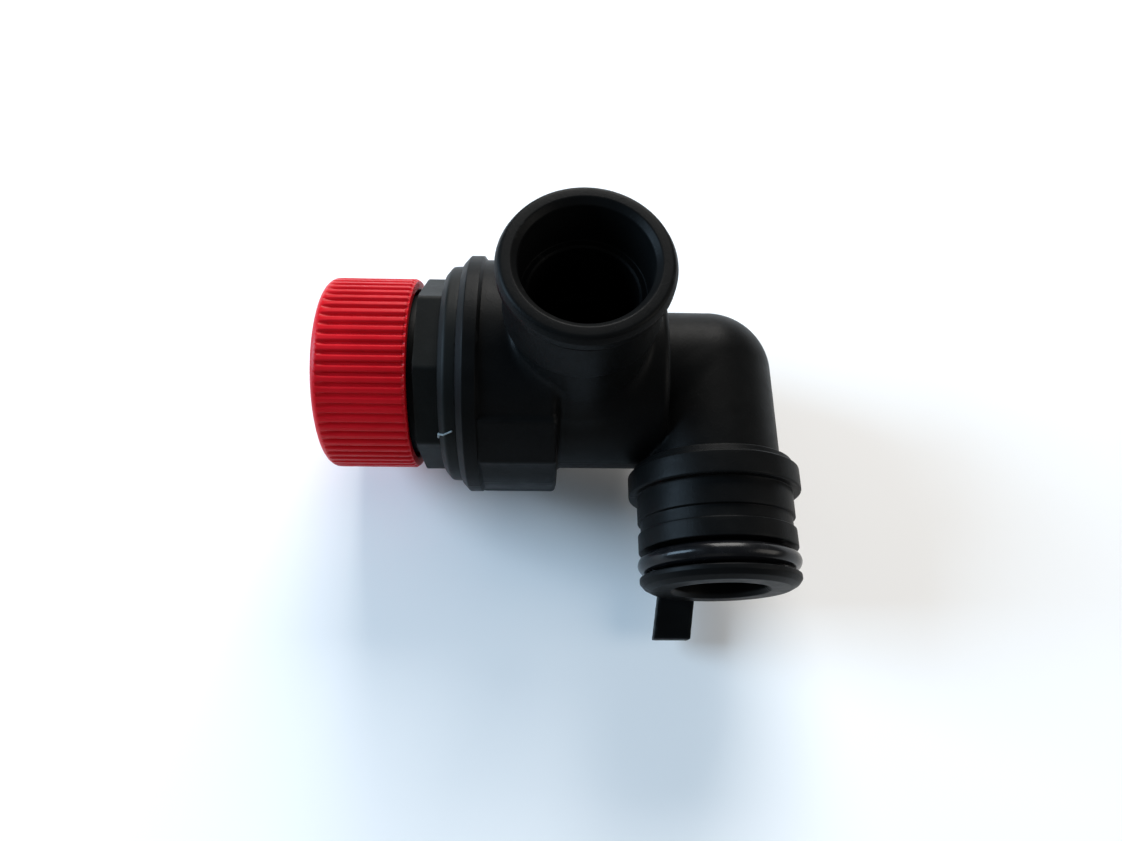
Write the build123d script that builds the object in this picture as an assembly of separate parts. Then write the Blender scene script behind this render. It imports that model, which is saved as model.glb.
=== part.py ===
from build123d import *
import math
import os

os.makedirs("parts", exist_ok=True)

# Plug-in safety valve for a heating boiler, lying with its hose outlet up.
# Design frame used below: main axis along X (knob at -X, elbow at +X),
# Y away from the plug-in inlet, Z up along the hose outlet, origin where the
# main axis and the outlet axis cross. "h" is a distance from there towards
# the knob, so x = -h. Everything is shifted to the row frame on writing:
# origin on the inlet axis, in the seating face of the inlet collar.

# ---------------------------------------------------------------- dimensions
INLET_X = 20.24          # inlet axis, along Y
SEAT_FACE_Y = -19.58     # collar face that seats on the socket
COLLAR_R = 12.45
LAND_R = 11.25           # inlet lands
CLIP_GROOVE_R = 10.85
ORING_R = 11.46          # outside of the O-ring
ORING_CS = 2.62
GROOVE_R = ORING_R - ORING_CS
INLET_BORE_R = 6.45
INLET_END_Y = -33.11
ELBOW_R = 10.0
NECK_R = 14.4
NECK_END_X = 12.7
HOUSING_R = 18.1
HOUSING_BODY_R = 17.5
RIM_H = 16.81            # open rim of the housing
RIM_R = 17.0
HOUSING_BACK_X = -3.0
MOUTH_Z = 31.75          # hose outlet
LIP_R = 10.5
BARB_R = 10.9
SHANK_R = 9.3
OUTLET_R = 8.28
OUTLET_STEP_Z = 24.0
OUTLET_STEP_R = 7.1
CHAMBER_R = 11.2
NOZZLE_R = 8.3
LEDGE_H = 7.8            # diaphragm ledge
THREAD_MINOR = 14.55     # housing thread, ring form
THREAD_MAJOR = 15.15
THREAD_PITCH = 1.5
BONNET_HEX_R = 14.8      # octagon over corners
KNOB_R = 14.5
KNOB_ROOT_R = 14.08
KNOB_RIM_H = 23.96
KNOB_END_H = 37.26
RIBS = 62
CAM_BASE_H = 27.9
CAM_RISE = 3.0
CAM_SPAN = 100.0         # degrees of each of the three ramps
CAM_GAP = 0.15
CAM_IN_R, CAM_OUT_R = 10.5, 12.1
STEM_R = 3.0
STEM_THREAD_R = 2.5
NECK_STEM_R = 2.2
SPRING_MEAN_R = 7.45
SPRING_WIRE_R = 1.0
SPRING_H0, SPRING_H1 = 10.8, 23.0


# ------------------------------------------------------------------- helpers
def outline(points):
    """Closed face from (a, b) or (a, b, fillet radius) corners."""
    pts = [(p[0], p[1], p[2] if len(p) > 2 else 0.0) for p in points]
    n = len(pts)
    ends = []
    for i, (a, b, r) in enumerate(pts):
        if r <= 0:
            ends.append(((a, b), None, (a, b)))
            continue
        pa, pb, _ = pts[i - 1]
        na, nb, _ = pts[(i + 1) % n]
        ux, uy = pa - a, pb - b
        vx, vy = na - a, nb - b
        lu, lv = math.hypot(ux, uy), math.hypot(vx, vy)
        ux, uy, vx, vy = ux / lu, uy / lu, vx / lv, vy / lv
        half = math.acos(max(-1, min(1, ux * vx + uy * vy))) / 2
        t = r / math.tan(half)
        mx, my = ux + vx, uy + vy
        lm = math.hypot(mx, my)
        mx, my = mx / lm, my / lm
        c = (a + mx * r / math.sin(half), b + my * r / math.sin(half))
        mid = (c[0] - mx * r, c[1] - my * r)
        ends.append(((a + ux * t, b + uy * t), mid, (a + vx * t, b + vy * t)))
    edges = []
    for i in range(n):
        start, mid, stop = ends[i]
        if mid is not None:
            edges.append(ThreePointArc(start, mid, stop))
        nxt = ends[(i + 1) % n][0]
        if math.hypot(nxt[0] - stop[0], nxt[1] - stop[1]) > 1e-6:
            edges.append(Line(stop, nxt))
    return make_face(edges)


def turn_x(points):
    """Revolve (x, r) corners about X."""
    return revolve(outline(points), axis=Axis.X, revolution_arc=360)


def turn_h(points):
    """Revolve (h, r) corners about X, with x = -h."""
    return turn_x([(-p[0], *p[1:]) for p in points])


def turn_y(points, at_x=INLET_X):
    """Revolve (r, y) corners about the inlet axis."""
    solid = revolve(outline(points), axis=Axis.Y, revolution_arc=360)
    return Pos(at_x, 0, 0) * solid


def turn_z(points):
    """Revolve (r, z) corners about the outlet axis."""
    face = Rot(90, 0, 0) * outline(points)
    return revolve(face, axis=Axis.Z, revolution_arc=360)


def about_x(angle):
    return Rot(angle, 0, 0)


def prism_x(points, x0, x1):
    """Closed (y, z) outline pushed from x0 to x1."""
    plane = Plane(origin=(x0, 0, 0), x_dir=(0, 1, 0), z_dir=(1, 0, 0))
    return extrude(plane * make_face(Polyline(*points, close=True)), x1 - x0)


def thread_rings(h0, h1, minor, major, pitch):
    """Saw of (h, r) corners along a thread drawn as rings."""
    out = []
    n = int((h1 - h0) / pitch)
    for i in range(n):
        a = h0 + i * pitch
        out += [(a, minor), (a + 0.15 * pitch, minor), (a + 0.45 * pitch, major), (a + 0.65 * pitch, major), (a + 0.95 * pitch, minor)]
    return out


def write(name, solid):
    moved = Pos(-INLET_X, -SEAT_FACE_Y, 0) * solid
    parts = moved.solids()
    if len(parts) == 1:
        moved = parts[0]
    else:
        moved = Compound(children=list(parts))
    export_step(moved, f"parts/{name}.step")
    print(name, len(parts), round(sum(s.volume for s in parts), 1))


# ---------------------------------------------------------------- valve body
# one moulding: housing, neck, hose outlet, elbow, plug-in inlet and locating leg
body = turn_x([
    (-RIM_H, 0), (-RIM_H, RIM_R, 0.25), (-RIM_H + 1.0, HOUSING_R, 0.4), (-14.0, HOUSING_R, 0.3),
    (-13.75, HOUSING_BODY_R), (HOUSING_BACK_X, HOUSING_BODY_R, 0.9), (HOUSING_BACK_X, NECK_R, 0.9),
    (NECK_END_X, NECK_R, 1.1), (NECK_END_X, ELBOW_R, 0.6), (INLET_X, ELBOW_R), (INLET_X, 0),
])
# squared lower side of the housing
keel = []
for deg in (-40, -45, -68, -112, -135, -140):
    r = HOUSING_R if deg not in (-40, -140) else 12.0
    keel.append((r * math.sin(math.radians(deg)), r * math.cos(math.radians(deg))))
block = prism_x(keel, -14.2, HOUSING_BACK_X)
block = fillet([e for e in block.edges().filter_by(Axis.X)], 0.5)
block = fillet([e for e in block.faces().sort_by(Axis.X)[-1].edges()], 0.7)
body += block
# the ball corner stands a hair proud of both tubes
body += Pos(INLET_X, 0, 0) * Rot(45, 20, 0) * Sphere(ELBOW_R + 0.05)
inlet_outer = turn_y([
    (0, 0), (ELBOW_R, 0), (ELBOW_R, -14.9, 0.5), (11.55, -15.1, 0.3), (11.7, -16.05), (COLLAR_R, -16.45, 0.35),
    (COLLAR_R, SEAT_FACE_Y, 0.3), (LAND_R, SEAT_FACE_Y), (LAND_R, -23.35), (CLIP_GROOVE_R, -23.35), (CLIP_GROOVE_R, -25.1),
    (LAND_R, -25.1), (LAND_R, -27.7), (GROOVE_R, -27.7), (GROOVE_R, -31.25), (LAND_R, -31.25),
    (LAND_R, -32.0, 0.3), (10.75, -32.65, 0.4), (9.8, INLET_END_Y, 0.2), (0, INLET_END_Y),
])
body += inlet_outer
outlet_outer = turn_z([
    (0, 6.0), (12.2, 6.0), (11.2, 9.4, 2.5), (9.9, 13.2, 5.0), (SHANK_R, 19.6), (SHANK_R + 0.1, 21.0, 0.15),
    (10.45, 21.35, 0.2), (10.05, 28.95), (10.05, 29.4, 0.12), (BARB_R, 29.5, 0.25),
    (BARB_R, MOUTH_Z - 1.0, 0.4), (LIP_R - 0.1, MOUTH_Z, 0.7), (0, MOUTH_Z),
])
body += outlet_outer
# locating leg behind the inlet
leg_pts = [(15.8, -17.2), (21.6, -17.2), (18.0, -38.45), (12.35, -38.2)]
leg_face = Plane(origin=(0, 0, -14.5), x_dir=(1, 0, 0), z_dir=(0, 0, 1)) * make_face(Polyline(*leg_pts, close=True))
leg = extrude(leg_face, 2.2)
leg = chamfer(leg.faces().sort_by(Axis.Y)[0].edges().sort_by(Axis.Z)[-1], 0.5)
leg_root = Pos(18.9, -17.9, -12.2) * Box(5.4, 2.6, 4.6)
body += leg + leg_root

# bores
body -= turn_h([(LEDGE_H, 0), (LEDGE_H, THREAD_MAJOR + 0.05), (10.4, THREAD_MAJOR + 0.05)]
               + thread_rings(10.5, 15.9, THREAD_MINOR + 0.1, THREAD_MAJOR + 0.1, THREAD_PITCH)
               + [(15.6, THREAD_MINOR + 0.1), (16.2, THREAD_MINOR + 0.1), (17.4, THREAD_MINOR + 1.3), (17.4, 0)])
chamber = turn_x([(-LEDGE_H - 0.5, 0), (-LEDGE_H - 0.5, CHAMBER_R), (9.4, CHAMBER_R, 0.8), (9.4, NOZZLE_R, 0.5),
                  (0.55, NOZZLE_R), (0.0, 7.55, 0.2), (0.0, 6.95, 0.15), (0.35, INLET_BORE_R), (0.35, 0)])
body -= chamber
body -= Pos(INLET_X, 0, 0) * Rot(0, -90, 0) * Cylinder(INLET_BORE_R, 25.0, align=(Align.CENTER, Align.CENTER, Align.MIN))
body -= Pos(INLET_X, 0, 0) * Rot(45, 20, 0) * Sphere(INLET_BORE_R + 0.05)
body -= turn_y([(0, 0), (INLET_BORE_R, 0), (INLET_BORE_R, INLET_END_Y + 0.8), (INLET_BORE_R + 0.9, INLET_END_Y - 0.1), (0, INLET_END_Y - 0.1)])
body -= turn_z([(0, 9.2), (6.2, 9.2), (6.2, 19.0), (OUTLET_STEP_R, 19.5), (OUTLET_STEP_R, OUTLET_STEP_Z - 0.3), (OUTLET_STEP_R + 0.3, OUTLET_STEP_Z), (OUTLET_R, OUTLET_STEP_Z),
                (OUTLET_R, MOUTH_Z - 0.5), (OUTLET_R + 0.5, MOUTH_Z + 0.1), (0, MOUTH_Z + 0.1)])
write("valve_body", body)

# ------------------------------------------------------------------- O-ring
oring_y = -29.48
ring = Pos(0, oring_y, 0) * Rot(90, 0, 0) * Torus(ORING_R - ORING_CS / 2, ORING_CS / 2 - 0.005)
write("inlet_o_ring", Pos(INLET_X, 0, 0) * ring)

# ------------------------------------------------------------------- bonnet
bonnet = turn_h([(10.0, 11.4, 0.2), (10.0, THREAD_MINOR - 0.05, 0.2)]
                + thread_rings(10.5, 15.9, THREAD_MINOR - 0.05, THREAD_MAJOR - 0.08, THREAD_PITCH)
                + [(15.9, THREAD_MINOR - 0.05), (RIM_H, THREAD_MINOR - 0.05), (RIM_H, 16.5, 0.15), (18.5, 16.4, 0.6), (19.4, 15.35, 0.4), (19.4, 14.7),
                   (19.4, 13.6), (23.2, 13.6), (23.2, CAM_OUT_R), (CAM_BASE_H + CAM_RISE, CAM_OUT_R), (CAM_BASE_H + CAM_RISE, CAM_IN_R),
                   (CAM_BASE_H - 0.4, CAM_IN_R), (CAM_BASE_H - 0.7, 10.2), (23.2, 10.2), (23.2, 9.7), (14.3, 9.7, 0.6), (14.3, 11.4, 0.6)])
octagon = Plane(origin=(-19.2, 0, 0), x_dir=(0, 1, 0), z_dir=(-1, 0, 0)) * RegularPolygon(radius=BONNET_HEX_R, side_count=8, rotation=22.5)
octagon = extrude(octagon, 4.0)
octagon &= turn_h([(18.9, 0), (18.9, 15.2), (22.8, 15.2), (23.2, 14.45), (23.2, 0)])
octagon -= turn_h([(18.0, 0), (18.0, 12.6), (24.0, 12.6), (24.0, 0)])
bonnet += octagon


def cam_cutter(gap, top):
    """Screw band for one ramp: above the ramp for the bonnet, below it for the knob."""
    per_turn = CAM_RISE * 360.0 / CAM_SPAN
    mid = (CAM_IN_R + CAM_OUT_R) / 2
    wide = CAM_OUT_R - CAM_IN_R + 1.0
    tall = 4.2
    # a left-over run at each end is trimmed by the sector
    helix = Helix(pitch=per_turn, height=per_turn * 140.0 / 360.0, radius=mid)
    start = helix @ 0
    base = 0.0 if top else -tall
    sec = Plane(origin=start, x_dir=(1, 0, 0), z_dir=(0, 1, 0))
    rect = make_face(Polyline((-wide / 2, -base), (wide / 2, -base), (wide / 2, -base - tall), (-wide / 2, -base - tall), close=True))
    face = sec * rect
    band = sweep(face, path=helix, is_frenet=True)
    return band, per_turn


def sector(a0, a1, z0, z1, r=16.0):
    """Wedge from angle a0 to a1 degrees about +Z."""
    pts = [(0, 0)]
    n = max(2, int((a1 - a0) / 20) + 1)
    for i in range(n + 1):
        a = math.radians(a0 + (a1 - a0) * i / n)
        pts.append((r * 1.2 * math.cos(a), r * 1.2 * math.sin(a)))
    return Pos(0, 0, z0) * extrude(make_face(Polyline(*pts, close=True)), z1 - z0)


def to_h(solid, turn=0.0):
    """Local +Z (towards the knob) onto -X, turned about the main axis."""
    return about_x(turn) * (Rot(0, -90, 0) * solid)


band_up, per_turn = cam_cutter(0.0, True)
# the helix starts 20 degrees before the ramp, so drop it to pass through the ramp's foot
lead = 20.0
drop = per_turn * lead / 360.0
ramp_space = Pos(0, 0, CAM_BASE_H - drop) * (Rot(0, 0, -lead) * band_up)
ramp_space = ramp_space & sector(0, CAM_SPAN, CAM_BASE_H - 1.0, CAM_BASE_H + 8.0)
land_space = sector(CAM_SPAN, 120.0, CAM_BASE_H, CAM_BASE_H + 8.0)
ring_zone = Pos(0, 0, CAM_BASE_H - 1.0) * (Cylinder(CAM_OUT_R + 0.3, 9.0, align=(Align.CENTER, Align.CENTER, Align.MIN)) - Cylinder(CAM_IN_R - 0.3, 9.0, align=(Align.CENTER, Align.CENTER, Align.MIN)))
for i in range(3):
    bonnet -= to_h(Rot(0, 0, 120 * i) * (ramp_space & ring_zone))
    bonnet -= to_h(Rot(0, 0, 120 * i) * (land_space & ring_zone))
write("bonnet", bonnet)

# --------------------------------------------------------------------- knob
knob_env = turn_h([
    (KNOB_RIM_H, 12.9, 0.2), (KNOB_RIM_H, KNOB_R - 0.25, 0.2), (KNOB_RIM_H + 0.6, KNOB_R), (KNOB_END_H, KNOB_R, 1.6),
    (KNOB_END_H, 7.75), (35.75, 7.75), (35.75, 7.0), (33.0, 7.0), (33.0, NECK_STEM_R + 0.05),
    (31.0, NECK_STEM_R + 0.05), (31.0, 8.6), (35.0, 8.6, 0.4), (35.0, 12.9, 0.4),
])
flutes = []
for i in range(RIBS):
    a = 360.0 / RIBS * i
    for da, r in ((-0.30, KNOB_ROOT_R), (-0.16, KNOB_R + 0.02), (0.16, KNOB_R + 0.02), (0.30, KNOB_ROOT_R)):
        t = math.radians(a + da * 360.0 / RIBS)
        flutes.append((r * math.cos(t), r * math.sin(t)))
fluted = prism_x(flutes, -KNOB_END_H + 0.9, -KNOB_RIM_H - 0.7)
fluted += turn_h([(KNOB_RIM_H - 0.5, 0), (KNOB_RIM_H - 0.5, KNOB_R + 0.5), (KNOB_RIM_H + 0.71, KNOB_R + 0.5), (KNOB_RIM_H + 0.71, 0)])
fluted += turn_h([(KNOB_END_H - 0.91, 0), (KNOB_END_H - 0.91, KNOB_R + 0.5), (KNOB_END_H + 0.5, KNOB_R + 0.5), (KNOB_END_H + 0.5, 0)])
knob = knob_env & fluted
cam_ring = Pos(0, 0, CAM_BASE_H + CAM_GAP) * (Cylinder(CAM_OUT_R, 35.1 - CAM_BASE_H - CAM_GAP, align=(Align.CENTER, Align.CENTER, Align.MIN)) - Cylinder(CAM_IN_R, 35.1 - CAM_BASE_H - CAM_GAP, align=(Align.CENTER, Align.CENTER, Align.MIN)))
band_down, per_turn = cam_cutter(0.0, False)
under = Pos(0, 0, CAM_BASE_H + CAM_GAP - drop) * (Rot(0, 0, -lead) * band_down)
# the space under each knob ramp runs 0.6 degrees past the ramp for side clearance
under = under & sector(0, CAM_SPAN + 0.8, CAM_BASE_H - 6.0, CAM_BASE_H + 6.0)
for i in range(3):
    cam_ring -= Rot(0, 0, 120 * i) * under
knob += to_h(cam_ring)
write("knob", knob)

# ----------------------------------------------------------------- knob cap
cap = turn_h([(35.75, 0), (35.75, 7.7, 0.15), (36.95, 7.7, 0.3), (36.95, 0)])
cap += turn_h([(34.9, 6.0), (34.9, 6.95), (35.8, 6.95), (35.8, 6.0)])
write("knob_cap", cap)

# --------------------------------------------------------------------- stem
stem = turn_h([
    (4.4, 0), (4.4, STEM_THREAD_R, 0.3), (13.0, STEM_THREAD_R), (13.4, STEM_R), (30.8, STEM_R, 0.25), (30.8, NECK_STEM_R),
    (33.7, NECK_STEM_R), (33.7, 1.75), (34.45, 1.75), (34.45, NECK_STEM_R), (35.0, NECK_STEM_R, 0.3), (35.0, 0),
])
write("stem", stem)
write("knob_washer", turn_h([(33.1, NECK_STEM_R + 0.02), (33.1, 4.6, 0.1), (33.68, 4.6, 0.1), (33.68, NECK_STEM_R + 0.02)]))
clip = turn_h([(33.72, 1.77), (33.72, 4.0), (34.42, 4.0), (34.42, 1.77)])
clip -= Pos(-34.07, -3.0, 0) * Box(1.2, 6.0, 3.2)
for s in (-1, 1):
    clip -= Pos(-34.07, 0.6, s * 3.3) * Box(1.2, 1.5, 1.3)
write("knob_clip", clip)

# --------------------------------------------- closing disc and diaphragm set
holder = turn_h([
    (0.6, 8.25), (0.6, 9.4, 0.2), (3.4, 9.4, 0.5), (3.9, 5.2, 0.6), (5.4, 5.2, 0.5), (5.8, 8.0), (6.8, 8.0, 0.2), (6.8, STEM_THREAD_R),
    (4.2, STEM_THREAD_R), (4.2, 1.5), (2.2, 1.5), (2.2, 8.25),
])
write("disc_holder", holder)
write("seal_disc", turn_h([(0.02, 1.6), (0.02, 8.2, 0.3), (2.2, 8.2), (2.2, 1.6)]))
write("seal_disc_washer", turn_h([(-0.8, 1.55), (-0.8, 4.2, 0.15), (0.0, 4.2), (0.0, 1.55)]))
screw = turn_h([(-2.5, 0), (-2.5, 2.4, 0.5), (-0.8, 2.8, 0.1), (-0.8, 1.48), (3.9, 1.48, 0.3), (3.9, 0)])
screw -= Pos(2.2, 0, 0) * Box(1.0, 0.7, 6.4)
write("seal_disc_screw", screw)
dia = turn_h([
    (6.8, STEM_THREAD_R), (6.8, 8.4), (6.8, 8.9, 0.5), (6.3, 9.6, 0.4), (6.6, 10.3, 0.4), (LEDGE_H, 11.05, 0.3), (LEDGE_H, 14.9, 0.2), (9.2, 14.9, 0.2),
    (9.2, 11.35, 0.5), (7.95, 10.6, 0.4), (7.5, 9.7, 0.4), (8.0, 8.95, 0.4), (8.0, 8.4), (8.0, STEM_THREAD_R),
])
write("diaphragm", dia)
write("diaphragm_slip_ring", turn_h([(9.22, 11.6, 0.2), (9.22, 14.9), (9.98, 14.9), (9.98, 11.6, 0.2)]))
write("diaphragm_plate", turn_h([(8.0, STEM_THREAD_R), (8.0, 8.0, 0.0), (8.6, 8.7, 0.4), (10.0, 8.7, 0.3), (10.0, STEM_THREAD_R)]))
nut = Plane(origin=(-10.0, 0, 0), x_dir=(0, 1, 0), z_dir=(-1, 0, 0)) * RegularPolygon(radius=4.0, side_count=6, major_radius=False)
nut = extrude(nut, 2.5) & turn_h([(9.9, 0), (9.9, 4.3), (10.15, 4.65), (12.1, 4.65), (12.5, 4.2), (12.6, 0)])
nut -= turn_h([(9.0, 0), (9.0, STEM_THREAD_R), (13.2, STEM_THREAD_R), (13.2, 0)])
write("stem_nut", nut)
write("lower_spring_cup", turn_h([
    (10.02, 4.95), (10.02, 9.1, 0.3), (11.9, 9.3), (11.9, 8.75), (SPRING_H0, 8.65, 0.2), (SPRING_H0, 5.85, 0.3), (12.6, 5.75), (12.6, 4.95),
]))
turns_height = SPRING_H1 - SPRING_H0
wire_path = Helix(pitch=turns_height / 4.25, height=turns_height + 1.2, radius=SPRING_MEAN_R)
wire_sec = Plane(origin=wire_path @ 0, z_dir=wire_path % 0) * Circle(SPRING_WIRE_R)
coil = sweep(wire_sec, path=wire_path, is_frenet=True)
coil = Pos(0, 0, SPRING_H0 - 0.6) * coil
coil = coil & (Pos(0, 0, SPRING_H0 + 0.02) * Cylinder(12, turns_height - 0.04, align=(Align.CENTER, Align.CENTER, Align.MIN)))
write("spring", to_h(coil))
write("upper_spring_washer", turn_h([(23.02, 5.4), (23.02, 9.3, 0.1), (23.78, 9.3, 0.1), (23.78, 5.4)]))
adj = turn_h([(23.8, 4.5), (23.8, 9.5)] + thread_rings(23.9, 27.4, 9.5, 10.1, 1.0) + [(27.35, 9.5), (27.35, 4.5)])
for i in range(4):
    adj -= about_x(90 * i + 45) * (Pos(-26.7, 0, 8.1) * Box(1.6, 2.4, 4.4))
write("adjusting_nut", adj)
write("stem_bush", turn_h([(23.9, STEM_R + 0.05), (23.9, 4.48), (27.37, 4.48), (27.37, 5.6, 0.15), (28.1, 5.6, 0.2), (28.1, STEM_R + 0.05)]))
print("done")
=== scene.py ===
import math

import bmesh
import bpy
import numpy as np
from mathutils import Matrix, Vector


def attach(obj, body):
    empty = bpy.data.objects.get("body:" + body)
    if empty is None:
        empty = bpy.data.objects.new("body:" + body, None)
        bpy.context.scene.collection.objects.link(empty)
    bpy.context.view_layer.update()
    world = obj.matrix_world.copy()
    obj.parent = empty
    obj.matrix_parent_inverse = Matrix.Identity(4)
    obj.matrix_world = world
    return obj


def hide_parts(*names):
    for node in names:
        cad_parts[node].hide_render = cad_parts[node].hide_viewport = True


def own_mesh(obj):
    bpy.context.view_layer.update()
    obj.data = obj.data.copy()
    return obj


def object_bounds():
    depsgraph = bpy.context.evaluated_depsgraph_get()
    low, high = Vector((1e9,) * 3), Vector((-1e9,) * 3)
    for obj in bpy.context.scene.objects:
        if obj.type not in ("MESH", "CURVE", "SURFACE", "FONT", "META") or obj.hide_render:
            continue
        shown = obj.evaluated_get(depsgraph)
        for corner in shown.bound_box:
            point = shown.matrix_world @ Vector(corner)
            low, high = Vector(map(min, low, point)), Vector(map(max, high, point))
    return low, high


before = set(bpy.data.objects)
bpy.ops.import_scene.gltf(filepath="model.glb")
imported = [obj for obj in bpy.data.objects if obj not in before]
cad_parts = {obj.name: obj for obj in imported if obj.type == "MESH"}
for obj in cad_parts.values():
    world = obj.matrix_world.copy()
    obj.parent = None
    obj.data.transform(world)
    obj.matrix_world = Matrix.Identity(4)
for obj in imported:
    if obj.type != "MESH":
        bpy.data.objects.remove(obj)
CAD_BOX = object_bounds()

import openvdb
from mathutils import Matrix, Vector

rng = np.random.default_rng(7)

# ------------------------------------------------------------------ dimensions
# Design frame, in mm: main axis along X with the knob at -X, Y away from the
# inlet, Z along the hose outlet, origin where main and outlet axes cross.
INLET_X, SEAT_Y = 20.24, -19.58
RIM_H, RIM_R = 16.81, 17.0
HOUSING_R, HOUSING_BODY_R, NECK_R = 18.1, 17.5, 14.4
HOUSING_BACK_X, NECK_END_X = -3.0, 12.7
ELBOW_R, INLET_BORE_R, INLET_END_Y = 10.0, 6.45, -33.11
COLLAR_R, LAND_R, CLIP_R, GROOVE_R = 12.45, 11.25, 10.85, 8.84
MOUTH_Z, LIP_R, BARB_R, SHANK_R = 31.75, 10.5, 10.9, 9.3
KNOB_R, KNOB_ROOT_R, KNOB_RIM_H, KNOB_END_H, RIBS = 14.5, 14.08, 23.96, 37.05, 62
CAM_BASE_H, CAM_RISE, CAM_SPAN, CAM_GAP = 27.9, 3.0, 100.0, 0.15


def to_row(P):
    """Design frame in mm to the row frame in metres."""
    P = np.asarray(P, float)
    return (P - np.array([INLET_X, SEAT_Y, 0.0])) / 1000.0


# ---------------------------------------------------------------------- camera
F_PX, D_MM = 738.7912297633308, 115.61081167966145
U0, V0 = 575.1995707785874, 375.86718273598024
AL, YAW, ROLL = -0.38423549554301323, 0.02354705680054182, -0.011599920643498289


def rot(ax, ay, az):
    cx, sx, cy, sy, cz, sz = math.cos(ax), math.sin(ax), math.cos(ay), math.sin(ay), math.cos(az), math.sin(az)
    Rx = np.array([[1, 0, 0], [0, cx, -sx], [0, sx, cx]])
    Ry = np.array([[cy, 0, sy], [0, 1, 0], [-sy, 0, cy]])
    Rz = np.array([[cz, -sz, 0], [sz, cz, 0], [0, 0, 1]])
    return Rz @ Ry @ Rx


R_CAM = rot(AL, YAW, ROLL)
T_CAM = np.array([(U0 - 561.0) / F_PX * D_MM, -(V0 - 420.5) / F_PX * D_MM, -D_MM])
cam_data = bpy.data.cameras.new("camera")
cam = bpy.data.objects.new("camera", cam_data)
bpy.context.scene.collection.objects.link(cam)
cam_data.sensor_fit = "HORIZONTAL"
cam_data.sensor_width = 36.0
cam_data.lens = F_PX / 1122.0 * 36.0
cam_data.clip_start = 0.005
cam_data.clip_end = 10.0
where = to_row(-R_CAM.T @ T_CAM)
M = np.eye(4)
M[:3, :3] = R_CAM.T
M[:3, 3] = where
cam.matrix_world = Matrix(M.tolist())
bpy.context.scene.camera = cam
CAM_POS, CAM_RIGHT, CAM_UP, CAM_BACK = where, R_CAM.T[:, 0], R_CAM.T[:, 1], R_CAM.T[:, 2]


# ------------------------------------------------------------- distance fields
def rounded(points, seg=5):
    """Corner list (a, b, radius) to a polyline with arcs."""
    pts = [(p[0], p[1], p[2] if len(p) > 2 else 0.0) for p in points]
    n, out = len(pts), []
    for i, (a, b, r) in enumerate(pts):
        if r <= 0:
            out.append((a, b))
            continue
        pa, pb, _ = pts[i - 1]
        na, nb, _ = pts[(i + 1) % n]
        u = np.array([pa - a, pb - b]); u /= np.linalg.norm(u)
        v = np.array([na - a, nb - b]); v /= np.linalg.norm(v)
        half = math.acos(max(-1.0, min(1.0, float(u @ v)))) / 2
        m = u + v; m /= np.linalg.norm(m)
        c = np.array([a, b]) + m * r / math.sin(half)
        p0 = np.array([a, b]) + u * r / math.tan(half) - c
        p1 = np.array([a, b]) + v * r / math.tan(half) - c
        a0, a1 = math.atan2(p0[1], p0[0]), math.atan2(p1[1], p1[0])
        d = (a1 - a0 + math.pi) % (2 * math.pi) - math.pi
        for k in range(seg + 1):
            t = a0 + d * k / seg
            out.append((c[0] + r * math.cos(t), c[1] + r * math.sin(t)))
    return np.array(out)


def poly_sdf(px, py, poly):
    """Signed distance of points to a closed polygon, negative inside."""
    best = np.full(px.shape, 1e9, np.float32)
    inside = np.zeros(px.shape, bool)
    n = len(poly)
    for i in range(n):
        ax, ay = poly[i - 1]
        bx, by = poly[i]
        ex, ey = bx - ax, by - ay
        ll = ex * ex + ey * ey
        if ll < 1e-12:
            continue
        wx, wy = px - ax, py - ay
        t = np.clip((wx * ex + wy * ey) / ll, 0, 1)
        dx, dy = wx - t * ex, wy - t * ey
        best = np.minimum(best, dx * dx + dy * dy)
        if ay != by:
            cross = (ay > py) != (by > py)
            xi = ex * (py - ay) / (by - ay) + ax
            inside ^= cross & (px < xi)
    d = np.sqrt(best)
    return np.where(inside, -d, d).astype(np.float32)


class Lathe:
    """Distance to a body of revolution, from a table over (along, radius)."""

    def __init__(self, corners, step=0.06, pad=3.0, rmax=None):
        poly = rounded(corners)
        self.step = step
        self.a0 = poly[:, 0].min() - pad
        na = int((poly[:, 0].max() + pad - self.a0) / step) + 2
        nr = int(((rmax or poly[:, 1].max()) + pad) / step) + 2
        A, Rr = np.meshgrid(self.a0 + np.arange(na) * step, np.arange(nr) * step, indexing="ij")
        # mirror the outline below the axis so that the axis itself isn't a wall
        full = np.vstack([poly, (poly * np.array([1, -1]))[::-1]])
        keep = poly[:, 1] > 1e-6
        if (~keep).any():
            first = np.where(~keep)[0]
            body = poly
            # outline touches the axis: drop the axis run and join the mirror image
            order = list(range(len(poly)))
            start = first[-1]
            order = order[start:] + order[:start]
            open_run = body[order]
            full = np.vstack([open_run, (open_run * np.array([1, -1]))[::-1]])
            self.tab = poly_sdf(A.astype(np.float32), Rr.astype(np.float32), full)
        else:
            self.tab = poly_sdf(A.astype(np.float32), Rr.astype(np.float32), poly)

    def __call__(self, along, radius):
        fa = np.clip((along - self.a0) / self.step, 0, self.tab.shape[0] - 1.001)
        fr = np.clip(radius / self.step, 0, self.tab.shape[1] - 1.001)
        ia, ir = fa.astype(np.int32), fr.astype(np.int32)
        ta, tr = fa - ia, fr - ir
        T = self.tab
        return ((T[ia, ir] * (1 - ta) + T[ia + 1, ir] * ta) * (1 - tr) + (T[ia, ir + 1] * (1 - ta) + T[ia + 1, ir + 1] * ta) * tr)


def smin(a, b, k):
    h = np.clip(0.5 + 0.5 * (b - a) / k, 0, 1)
    return b * (1 - h) + a * h - k * h * (1 - h)


def smax(a, b, k):
    return -smin(-a, -b, k)


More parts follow.
